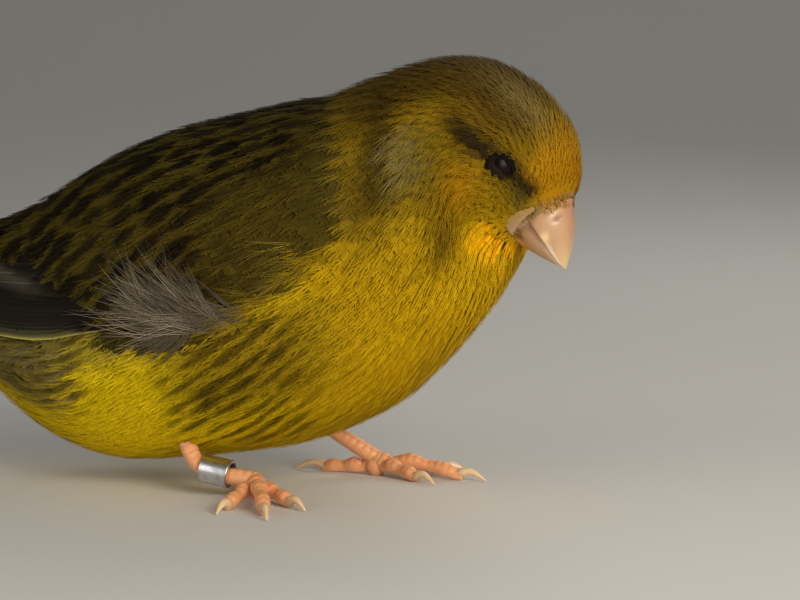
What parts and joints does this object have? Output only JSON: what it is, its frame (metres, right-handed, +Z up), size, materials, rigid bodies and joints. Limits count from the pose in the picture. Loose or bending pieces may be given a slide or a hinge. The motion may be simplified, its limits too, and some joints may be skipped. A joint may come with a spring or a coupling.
{
  "type": "canary",
  "caption": "Live canary at rest on its feet, head turned and bent down, with folded wings, straight tail and a plain metal leg ring.",
  "frame": {"origin": "middle of the bird's bounding box, on the floor it stands on", "axes": "+X is the bird's forward, +Y its left side, +Z up"},
  "size_m": [0.1272, 0.0488, 0.0547],
  "materials": {
    "plumage": "soft feathers, mustard yellow over olive brown",
    "flight_feathers": "satin, dark olive brown with thin pale edges",
    "eye": "wet and glossy, near black",
    "bill_horn": "satin horn, pale pink",
    "leg_skin": "scaly, satin, pinkish orange",
    "ring_metal": "brushed, plain"
  },
  "bodies": {
    "root": {"torso": "plumage", "neck": "plumage", "head": "plumage", "tail": "flight_feathers", "wing_left": "flight_feathers", "wing_right": "flight_feathers", "eye_left": "eye", "eye_right": "eye", "bill_upper": "bill_horn", "bill_lower": "bill_horn", "leg_left": "leg_skin", "leg_right": "leg_skin", "leg_ring": "ring_metal"}
  },
  "joints": []
}
